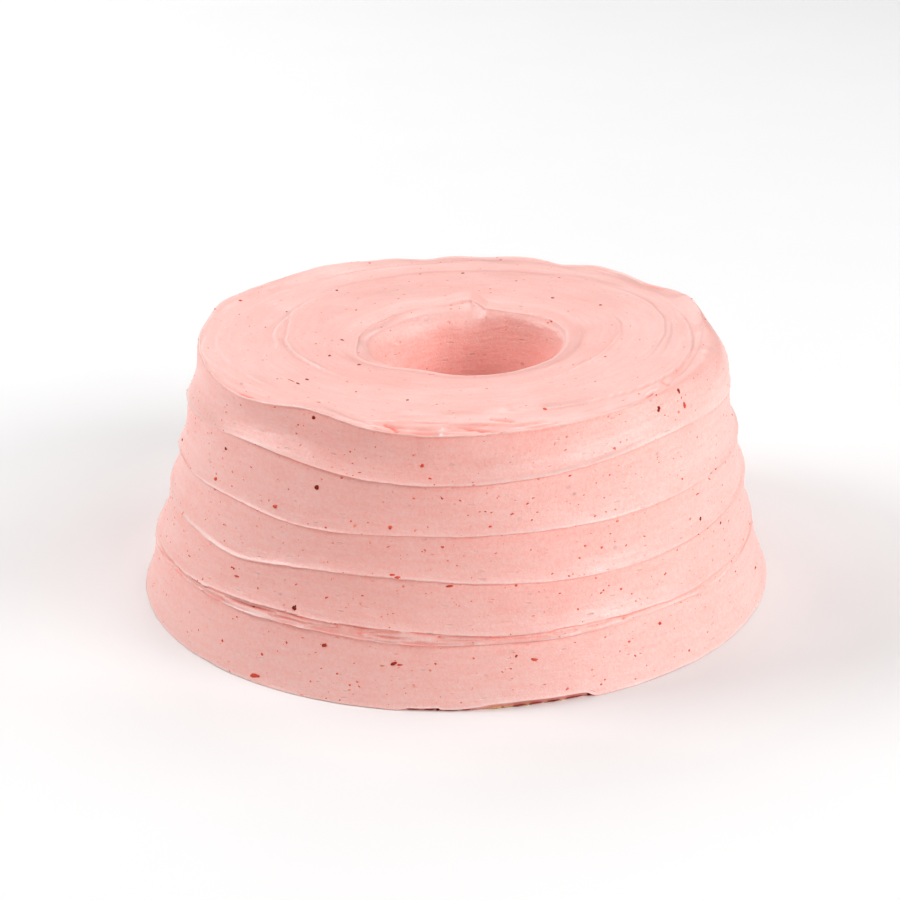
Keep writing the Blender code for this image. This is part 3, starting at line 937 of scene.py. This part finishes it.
# Flecks on the wall, those that the photo shows and a few like them on the far side:
# (azimuth, level, length, width, degrees turned, tone)
DARK_ON_WALL = (
    (-55, 66, 1.3, 0.9, 10, 0.3), (-29, 63.8, 1.6, 1.2, 40, 0.1), (-36, 61, 1.3, 0.8, 0, 0.4),
    (-32, 84.6, 1.2, 0.9, 20, 0.2), (-31, 25.9, 1.8, 1.3, 80, 0.1), (-24, 16.8, 1.2, 1, 15, 0.5),
    (-11, 14, 1.8, 0.9, 10, 0.3), (10, 15.5, 1.5, 1.1, 60, 0.5), (54, 40.9, 1.2, 0.9, 30, 0.1),
    (54.6, 39.9, 1.1, 0.7, -30, 0.3), (61, 35.5, 1.2, 0.8, 0, 0.3), (45.9, 80.6, 1.4, 1.3, 20, 0.2),
    (53.4, 83, 1.5, 1.1, 50, 0.4), (-47, 31, 1.1, 0.8, -20, 0.5), (-40, 22.3, 1, 0.8, 30, 0.4),
    (-84, 52, 1.2, 0.8, 10, 0.3), (-97, 28, 1.3, 0.9, 60, 0.2), (-112, 66, 1.1, 0.8, 0, 0.4),
    (-130, 41, 1.4, 0.9, 30, 0.2), (-151, 72, 1.1, 0.7, 15, 0.3), (-160, 19, 1.3, 0.9, 70, 0.1),
    (-176, 55, 1.2, 0.9, 20, 0.4), (165, 35, 1.3, 0.8, 50, 0.3), (150, 62, 1, 0.8, 10, 0.2),
    (133, 13, 1.2, 0.8, 35, 0.3), (121, 48, 1.3, 0.9, -20, 0.2), (108, 70, 1.1, 0.8, 0, 0.4),
    (92, 24, 1.2, 0.9, 60, 0.3), (84, 58, 1, 0.7, 25, 0.3), (76, 9, 1.1, 0.8, 15, 0.4),
)
# On the top, with x and y first
DARK_ON_TOP = (
    (-51.1, -46.9, 1.6, 0.8, 0, 0.45), (-46, -42, 1.5, 0.9, 10, 0.4), (-40, -20.5, 1.1, 0.8, 0, 0.4),
    (-36.5, -5, 1.2, 0.9, 30, 0.55), (-30, -29.5, 1.1, 0.8, 40, 0.55), (25, 11, 1.1, 0.8, 0, 0.5),
    (32.5, 31, 1.2, 0.8, 10, 0.4), (-40.5, 46, 1.4, 0.9, 60, 0.55), (-61.5, 29, 1.2, 0.8, 0, 0.4),
    (3.5, 61, 1.1, 0.7, 20, 0.5), (51, 25, 1, 0.7, 70, 0.4), (-14, -61, 1, 0.8, 10, 0.4),
)
RED_ON_WALL = (
    (-38, 55, 1.2, 0.9, 10, 0.5), (-26, 52.5, 1.4, 0.9, 0, 0.6), (-57, 55, 1.2, 0.8, 20, 0.5),
    (-22.5, 76, 0.9, 0.8, 0, 0.5), (-7.5, 74, 1, 0.8, 30, 0.4), (-20, 70.7, 1.1, 0.8, 0, 0.6),
    (-62, 26.3, 2, 0.5, 5, 0.6), (-46, 29, 2, 0.5, 10, 0.5), (-55, 22.8, 1.2, 0.9, 30, 0.5),
    (-25, 30.7, 1.3, 0.9, 0, 0.6), (-37, 2.2, 3, 1.2, 10, 0.4), (-3, 49.8, 1.1, 0.8, 20, 0.6),
    (-1.5, 38, 2, 0.7, 5, 0.2), (26, 52.8, 1.2, 0.9, 15, 0.7), (16.5, 47, 1, 0.7, 0, 0.5),
    (21, 27, 1.2, 0.9, 40, 0.6), (13, 14.3, 2, 0.8, -10, 0.6), (13, 61.5, 1, 0.8, 20, 0.5),
    (53.4, 78.7, 1.8, 1, 70, 0.4), (53.4, 80.9, 1.1, 0.8, 0, 0.5), (55, 81, 1.1, 0.8, 20, 0.4),
    (54, 49.3, 2, 0.5, 5, 0.5), (22, 68.5, 1.1, 0.8, 0, 0.6), (-13, 55, 1, 0.8, 10, 0.5),
    (-12.5, 41, 2, 0.8, 5, 0.5), (-11.3, 40.4, 1.6, 0.7, 0, 0.6), (-9.9, 13.7, 1.7, 0.6, 4, 0.5),
    (31, 30, 1.1, 0.8, 30, 0.6), (35.5, 29.5, 1, 0.8, 0, 0.5), (41.5, 30, 1, 0.7, 20, 0.6),
)
RED_ON_TOP = (
    (-53.6, -44.7, 4.2, 0.45, 0, 0.2), (-30, 77, 1.3, 0.9, 0, 0.4), (-11.5, 63, 1.1, 0.8, 20, 0.4),
    (17.5, 79, 1.2, 0.9, 0, 0.5), (38, 56, 1.1, 0.8, 10, 0.4), (-73.5, 35, 1.2, 0.9, 0, 0.5),
    (53.5, -27, 1.1, 0.9, 30, 0.6), (78.5, 11, 1.1, 0.8, 0, 0.5), (-36.5, -60, 1, 0.8, 20, 0.4),
    (-41.5, -62, 1.1, 0.8, 0, 0.5), (28.5, -70.5, 1.3, 1, 0, 0.8), (60.5, -51.5, 2.2, 0.9, 40, 0.5),
    (51, 25, 1, 0.8, 0, 0.6),
)
ORANGE_ON_WALL = (
    (-12.6, 12.9, 2.6, 1, 0, 0.7), (44, 19.6, 2, 0.6, 5, 0.5), (-68, 44, 1.1, 0.8, 20, 0.5),
    (143, 25, 1.3, 0.9, 10, 0.4), (-118, 33, 1.2, 0.8, 40, 0.6), (102, 52, 1.2, 0.9, 0, 0.5),
)
# How much larger than listed they are made, and how many more bits of fruit there are
NAMED_SCALE = 1.22
MORE_FRUIT = 60


def named_flecks(name, seed, surface, on_wall, on_top, thickness, sunk):
    """The flecks whose places are listed."""
    flecks = Flecks(name, seed)
    spots = [(surface.on_wall(azimuth, level), *rest) for azimuth, level, *rest in on_wall]
    spots += [(surface.on_top(x, y), *rest) for x, y, *rest in on_top]
    for spot, length, width, turn, tone in spots:
        flecks.add(spot, (NAMED_SCALE * length, NAMED_SCALE * width, thickness), turn, tone, sunk)
    return flecks


def dark_seeds(surface):
    return named_flecks("dark_seeds", 201, surface, DARK_ON_WALL, DARK_ON_TOP, 0.6, 0.22).mesh()


def orange_bits(surface):
    return named_flecks("orange_bits", 204, surface, ORANGE_ON_WALL, (), 0.5, 0.28).mesh()


def fruit_bits(surface):
    """Red bits of strawberry, those listed and more by chance all round."""
    flecks = named_flecks("fruit_bits", 202, surface, RED_ON_WALL, RED_ON_TOP, 0.5, 0.30)
    rng = flecks.rng
    for spot in zip(*surface.scattered(rng, MORE_FRUIT, "wall", "top", "hole")):
        length = rng.uniform(0.7, 1.3)
        size = (length, length * rng.uniform(0.5, 0.9), 0.5)
        flecks.add(spot, size, rng.uniform(-60, 60), rng.uniform(0.2, 0.8), 0.32)
    return flecks.mesh()


# Tiny specks: how many, on which zones, palest tone
SPECKS = ((1900, ("wall", "strip"), 0.0), (560, ("top", "hole"), 0.3))


def red_specks(surface):
    """The many tiny specks, some so deep in the frosting that only a faint dot shows."""
    flecks = Flecks("red_specks", 203, 1)
    rng = flecks.rng
    for count, zones, palest in SPECKS:
        for spot in zip(*surface.scattered(rng, count, *zones)):
            length = 0.40 + rng.uniform(0.0, 1.0) ** 2.2
            size = (length, length * rng.uniform(0.35, 0.9), 0.20 + 0.12 * length)
            flecks.add(spot, size, rng.uniform(-35, 35), rng.uniform(palest, 1.0), 0.22)
    return flecks.mesh()


# Dark red bits drawn out along the crevice at the foot, painted shade that darkens the shadow there:
# (azimuth, level, length, height, tone)
FOOT_CREVICE_SHADE = (
    (-7.3, 0.55, 4.2, 0.30, 0.6), (-4.6, 0.50, 3, 0.34, 0.3), (-3.1, 0.62, 1.1, 0.80, 0),
    (-0.9, 0.40, 3.8, 0.32, 0.5), (1.6, 0.42, 3.2, 0.30, 0.7), (10.4, 0.45, 4.6, 0.36, 0.4),
    (13.4, 0.55, 4.6, 0.34, 0.6), (16.6, 0.50, 4.4, 0.34, 0.3), (20.2, 0.60, 5.2, 0.32, 0.5),
    (23, 0.80, 2.2, 0.75, 0.1),
)


def under_edge(azimuth, inset, lifted_inset):
    """(outward direction, radius) at the foot, further in where the frosting's edge is lifted."""
    angle = math.radians(azimuth)
    lifted = float(FOOT.lift(np.array([azimuth]))[0])
    outward = np.array([math.sin(angle), -math.cos(angle), 0.0])
    return outward, BASE_RADIUS - inset - lifted_inset * lifted


def foot_crevice_shade():
    flecks = Flecks("foot_crevice_shade", 206)
    for azimuth, level, length, height, tone in FOOT_CREVICE_SHADE:
        outward, radius = under_edge(azimuth, 0.35, 0.85)
        spot = outward * radius + (0.0, 0.0, level)
        flecks.add((spot, outward), (length, height, 0.7), 0.0, tone, 0.1, 0.18)
    return flecks.mesh()


# From one azimuth to another, and how many
CRUMB_STRETCHES = ((2, 13, 26), (13, 36, 22), (-10, -3, 5), (-75, 75, 10), (90, 270, 14))


def crumbs():
    """Golden crumbs of sponge along the foot, most of them at the lifted front edge."""
    flecks = Flecks("sponge_crumbs", 205)
    rng = flecks.rng
    for start, end, count in CRUMB_STRETCHES:
        for _ in range(count):
            outward, radius = under_edge(rng.uniform(start, end), 1.0, 0.9)
            radius += rng.uniform(-0.25, 0.35)
            size = rng.uniform(0.45, 1.0)
            point = outward * radius + (0.0, 0.0, 0.32 * size)
            shape = (1.2 * size, 0.8 * size, 0.75 * size)
            tone = rng.uniform(0.0, 1.0)
            flecks.add((point, (0.0, 0.0, 1.0)), shape, rng.uniform(-40, 40), tone, 0.0, 0.4)
    return flecks.mesh()


class Paint:
    """A material's node tree, with short calls for the nodes used here."""

    def __init__(self, name):
        self.material = bpy.data.materials.new(name)
        self.material.use_nodes = True
        self.tree = self.material.node_tree

    def join(self, node, inputs):
        """Joins each of the node's inputs to another's output, or sets it to a constant."""
        for name, value in inputs.items():
            if isinstance(value, bpy.types.NodeSocket):
                self.tree.links.new(value, node.inputs[name])
            else:
                node.inputs[name].default_value = value

    def node(self, kind, inputs, **settings):
        made = self.tree.nodes.new(kind)
        for name, value in settings.items():
            setattr(made, name, value)
        self.join(made, inputs)
        return made.outputs

    def finish(self, color, roughness, specular, normal=None):
        """The material, once its shader has these inputs."""
        inputs = {"Base Color": color, "Roughness": roughness, "Specular IOR Level": specular}
        if normal is not None:
            inputs["Normal"] = normal
        self.join(self.tree.nodes["Principled BSDF"], inputs)
        return self.material

    def attribute(self, name, output):
        return self.node("ShaderNodeAttribute", {}, attribute_name=name)[output]

    def scaled(self, vector, scale):
        return self.node("ShaderNodeVectorMath", {0: vector, 1: scale}, operation="MULTIPLY")[0]

    def millimetres(self):
        """The place on the piece, in millimetres."""
        return self.scaled(self.node("ShaderNodeTexCoord", {})["Object"], (1.0 / MM, 1.0 / MM, 1.0 / MM))

    def askew(self, vector):
        """The same place turned off the axes, so that fine noise doesn't line up with them."""
        inputs = {"Vector": vector, "Rotation": (0.7, 0.5, 0.9)}
        return self.node("ShaderNodeVectorRotate", inputs, rotation_type="EULER_XYZ")[0]

    def texture(self, kind, vector, cell, **inputs):
        """A texture whose cells are that many millimetres, one number or three."""
        sizes = cell if isinstance(cell, tuple) else (cell, cell, cell)
        placed = self.scaled(vector, tuple(1.0 / size for size in sizes))
        return self.node(kind, {"Vector": placed, "Scale": 1.0, **inputs})

    def cells(self, vector, cell, detail=2.0, roughness=0.5):
        """Noise from 0 to 1 whose features are about the cell's size."""
        return self.texture("ShaderNodeTexNoise", vector, cell, Detail=detail, Roughness=roughness)["Fac"]

    def spots(self, vector, cell):
        """(distance from the nearest spot in cells, a random value of its cell)."""
        made = self.texture("ShaderNodeTexVoronoi", vector, cell)
        return made["Distance"], self.node("ShaderNodeSeparateColor", {0: made["Color"]})[0]

    def maths(self, operation, first, second):
        return self.node("ShaderNodeMath", {0: first, 1: second}, operation=operation)[0]

    def add(self, first, second):
        return self.maths("ADD", first, second)

    def times(self, first, second):
        return self.maths("MULTIPLY", first, second)

    def between(self, value, low, high, least=0.0, most=1.0):
        """The first of two results below low, the second above high, and a smooth change between."""
        inputs = {"Value": value, "From Min": low, "From Max": high, "To Min": least, "To Max": most}
        return self.node("ShaderNodeMapRange", inputs, interpolation_type="SMOOTHSTEP")[0]

    def facing_up(self, low, high, upright, level):
        """One value where the surface is upright and another where it is level."""
        normal = self.node("ShaderNodeNewGeometry", {})["Normal"]
        split = self.node("ShaderNodeSeparateXYZ", {0: normal})
        return self.between(split["Z"], low, high, upright, level)

    def mix(self, share, first, second):
        return self.node("ShaderNodeMix", {0: share, 6: first, 7: second}, data_type="RGBA")[2]

    def bump(self, height, depth, before=None, strength=1.0):
        """Shading relief: height from 0 to 1 stands for that depth in millimetres."""
        inputs = {"Height": height, "Distance": depth * MM, "Strength": strength}
        if before is not None:
            inputs["Normal"] = before
        return self.node("ShaderNodeBump", inputs)[0]


PALE_PINK = (0.980, 0.740, 0.690, 1.0)
DEEP_PINK = (0.965, 0.200, 0.140, 1.0)
GREY_SPOT = (0.64, 0.33, 0.31, 1.0)
RED_SPOT = (0.87, 0.24, 0.18, 1.0)

# Spots of colour in the frosting: cell, near, far, rarest kept, strongest, tint
FROSTING_SPOTS = (
    ((13.0, 13.0, 9.0), 0.035, 0.095, 0.25, 0.75, GREY_SPOT),
    ((4.0, 4.0, 3.0), 0.05, 0.11, 0.35, 0.8, RED_SPOT),
    ((6.0, 6.0, 1.8), 0.07, 0.16, 0.45, 0.8, RED_SPOT),
    ((1.9, 1.9, 1.3), 0.07, 0.17, 0.45, 0.5, RED_SPOT),
)
# Dents left by air in the frosting: their cell, how rare they are, how deep
DENT_CELL = (8.5, 8.5, 2.4)
DENT_RARITY = 0.60
DENT_DEPTH = 0.20


def buttercream():
    """Pale strawberry buttercream: soft, mottled, drawn out along the spatula's sweep."""
    paint = Paint("strawberry_buttercream")
    sweep = paint.attribute("sweep", "Vector")
    place_mm = paint.askew(paint.millimetres())

    cloudy = paint.between(paint.cells(place_mm, 22.0), 0.3, 0.7, -0.025, 0.025)
    drawn = paint.between(paint.cells(sweep, (12.0, 12.0, 1.6)), 0.3, 0.72, -0.035, 0.04)
    # The blush read from the mesh holds its painted light and shade; the noises added to it are the
    # frosting's own mottling
    blush = paint.add(paint.add(paint.attribute("blush", "Fac"), cloudy), drawn)
    small = paint.between(paint.cells(place_mm, 1.3, 3.0, 0.75), 0.32, 0.70, -0.065, 0.075)
    fine = paint.between(paint.cells(place_mm, 0.42, 1.0), 0.3, 0.7, -0.055, 0.055)
    blush = paint.add(blush, paint.times(paint.add(small, fine), paint.facing_up(0.70, 0.95, 1.0, 0.40)))
    away, which = paint.spots(sweep, DENT_CELL)
    # A paler ring round each dent: a painted highlight on its rim
    rim = paint.maths("SUBTRACT", paint.between(away, 0.09, 0.13), paint.between(away, 0.15, 0.20))
    rim = paint.times(rim, paint.between(which, DENT_RARITY, DENT_RARITY + 0.08, 0.0, -0.13))
    color = paint.mix(paint.add(blush, rim), PALE_PINK, DEEP_PINK)
    for cell, near, far, rarest, strongest, tint in FROSTING_SPOTS:
        distance, choice = paint.spots(sweep, cell)
        faint = paint.between(distance, near, far, 1.0, 0.0)
        color = paint.mix(paint.times(faint, paint.between(choice, rarest, 1.0, 0.0, strongest)), color, tint)

    wet = paint.between(paint.cells(sweep, (24.0, 24.0, 4.0)), 0.3, 0.7, 0.32, 0.47)
    worn = paint.between(paint.cells(place_mm, 0.9), 0.3, 0.7, -0.03, 0.06)

    calmer = paint.facing_up(0.70, 0.95, 1.0, 0.30)
    streaks = paint.bump(paint.cells(sweep, (26.0, 26.0, 1.1)), 0.12, None, calmer)
    soft = paint.bump(paint.cells(sweep, (5.0, 5.0, 2.0)), 0.24, streaks, calmer)
    kept = paint.between(which, DENT_RARITY, DENT_RARITY + 0.06, 1.0, 0.0)
    dents = paint.maths("MAXIMUM", paint.between(away, 0.09, 0.17), kept)
    dented = paint.bump(dents, DENT_DEPTH, soft, calmer)
    grain = paint.bump(paint.cells(place_mm, 0.8, 2.0, 0.6), 0.15, dented, calmer)
    return paint.finish(color, paint.add(wet, worn), 0.6, grain)


# Each fleck's darkest colour, its lightest and its roughness
FLECK_PAINTS = {
    "dark_seed": ((0.20, 0.016, 0.010, 1.0), (0.64, 0.085, 0.045, 1.0), 0.8),
    "red_fruit": ((0.58, 0.030, 0.018, 1.0), (0.88, 0.17, 0.10, 1.0), 0.4),
    "red_speck": ((0.78, 0.07, 0.035, 1.0), (0.96, 0.40, 0.28, 1.0), 0.5),
    "orange_fruit": ((0.62, 0.16, 0.04, 1.0), (0.86, 0.36, 0.12, 1.0), 0.4),
    # Painted shade for the crevice at the foot
    "crevice_shade_paint": ((0.15, 0.016, 0.012, 1.0), (0.52, 0.075, 0.05, 1.0), 0.45),
    "golden_crumb": ((0.58, 0.30, 0.11, 1.0), (0.85, 0.58, 0.30, 1.0), 0.85),
}


def fleck_material(name):
    """A fleck's material, between its two colours by the fleck's own tone and a little mottled."""
    dark, light, roughness = FLECK_PAINTS[name]
    paint = Paint(name)
    mottle = paint.cells(paint.millimetres(), 0.4, 1.0)
    share = paint.add(paint.attribute("tone", "Fac"), paint.between(mottle, 0.3, 0.7, -0.15, 0.15))
    return paint.finish(paint.mix(share, dark, light), roughness, 0.02, paint.bump(mottle, 0.08))


def sponge_material():
    """Golden-brown porous crumb."""
    paint = Paint("golden_sponge")
    place_mm = paint.millimetres()
    color = paint.mix(paint.cells(place_mm, 3.0, 3.0), (0.62, 0.34, 0.13, 1.0), (0.84, 0.60, 0.32, 1.0))
    away, which = paint.spots(place_mm, 1.6)
    # Darker in the pores: painted shade in the hollows that the bump makes
    pore = paint.times(paint.between(away, 0.15, 0.42, 1.0, 0.0), which)
    color = paint.mix(pore, color, (0.36, 0.17, 0.06, 1.0))
    holes = paint.bump(paint.between(away, 0.1, 0.5), 0.5)
    return paint.finish(color, 0.85, 0.2, paint.bump(paint.cells(place_mm, 0.6, 3.0), 0.15, holes))


def build_cake():
    """Every piece of the cake, each riding on the one body."""
    surface = Surface()
    frosting = new_object("frosting", frosting_mesh(surface))
    pieces = (
        (frosting, buttercream()),
        (new_object("dark_seeds", dark_seeds(surface)), fleck_material("dark_seed")),
        (new_object("fruit_bits", fruit_bits(surface)), fleck_material("red_fruit")),
        (new_object("red_specks", red_specks(surface)), fleck_material("red_speck")),
        (new_object("orange_bits", orange_bits(surface)), fleck_material("orange_fruit")),
        (new_object("foot_crevice_shade", foot_crevice_shade()), fleck_material("crevice_shade_paint")),
        (new_object("sponge_underside", sponge_mesh()), sponge_material()),
        (new_object("sponge_crumbs", crumbs()), fleck_material("golden_crumb")),
    )
    for piece, material in pieces:
        piece.data.materials.append(material)
        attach(piece, BODY)
    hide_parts(NODE)


FLOOR_HALF = 6.0


def floor():
    """A plain near-white floor."""
    mesh = bpy.data.meshes.new("floor")
    corners = [(x * FLOOR_HALF, y * FLOOR_HALF, 0.0) for x, y in ((-1, -1), (1, -1), (1, 1), (-1, 1))]
    mesh.from_pydata(corners, (), ((0, 1, 2, 3),))
    paint = Paint("pale_floor")
    mottle = paint.cells(paint.millimetres(), 60.0)
    shade = paint.mix(mottle, (0.92, 0.92, 0.92, 1.0), (0.94, 0.94, 0.94, 1.0))
    mesh.materials.append(paint.finish(shade, 0.9, 0.1))
    new_object("floor", mesh)


# Soft boxes round the cake: azimuth and height in degrees, size in metres, watts
SOFT_BOXES = (
    (62, 27, 0.80, 13.0),
    (-95, 38, 0.80, 13.2),
    (35, 36, 0.80, 6.2),
    (-15, 40, 0.80, 1.3),
    (-135, 38, 0.80, 5.4),
    (110, 35, 0.80, 4.8),
    (172, 39, 0.80, 4.4),
    (-160, 12, 0.80, 2.2),
    (-60, 27, 0.35, 1.1),
)
BOX_DISTANCE = 1.6
AIM = Vector((0.0, 0.0, 0.04))
SKY = 0.03


def soft_box(azimuth, height, size, watts):
    """A round soft light that faces the cake."""
    around, up = math.radians(azimuth), math.radians(height)
    away = Vector((math.sin(around) * math.cos(up), -math.cos(around) * math.cos(up), math.sin(up)))
    light = bpy.data.lights.new("soft_box", "AREA")
    light.shape = "DISK"
    light.size = size
    light.energy = watts
    made = new_object("soft_box", light)
    made.location = AIM + away * BOX_DISTANCE
    made.rotation_euler = away.to_track_quat("Z", "Y").to_euler()


def lighting():
    for azimuth, height, size, watts in SOFT_BOXES:
        soft_box(azimuth, height, size, watts)
    world = bpy.data.worlds.new("studio")
    world.use_nodes = True
    background = world.node_tree.nodes["Background"]
    background.inputs["Color"].default_value = (1.0, 1.0, 1.0, 1.0)
    background.inputs["Strength"].default_value = SKY
    bpy.context.scene.world = world
    bpy.context.scene.view_settings.view_transform = "Standard"


# The camera's place in millimetres, its angles in degrees and its lens in millimetres
CAMERA_PLACE = (5.29, -783.6, 366.6)
CAMERA_PITCH = 22.44
CAMERA_PAN = -0.49
CAMERA_ROLL = -1.08
CAMERA_LENS = 99.6
SENSOR_WIDTH = 36.0
FARTHEST = 30.0


def camera():
    """The photo's own view: looking down at the cake from about 0.87 m away."""
    pitch, pan, roll = (math.radians(angle) for angle in (CAMERA_PITCH, CAMERA_PAN, CAMERA_ROLL))
    settings = bpy.data.cameras.new("camera")
    settings.lens = CAMERA_LENS
    settings.sensor_width = SENSOR_WIDTH
    settings.clip_end = FARTHEST
    made = new_object("camera", settings)
    aimed = Matrix.Rotation(-pan, 4, "Z") @ Matrix.Rotation(0.5 * math.pi - pitch, 4, "X")
    turned = aimed @ Matrix.Rotation(roll, 4, "Z")
    made.matrix_world = Matrix.Translation(Vector(CAMERA_PLACE) * MM) @ turned
    bpy.context.scene.camera = made


build_cake()
floor()
lighting()
camera()
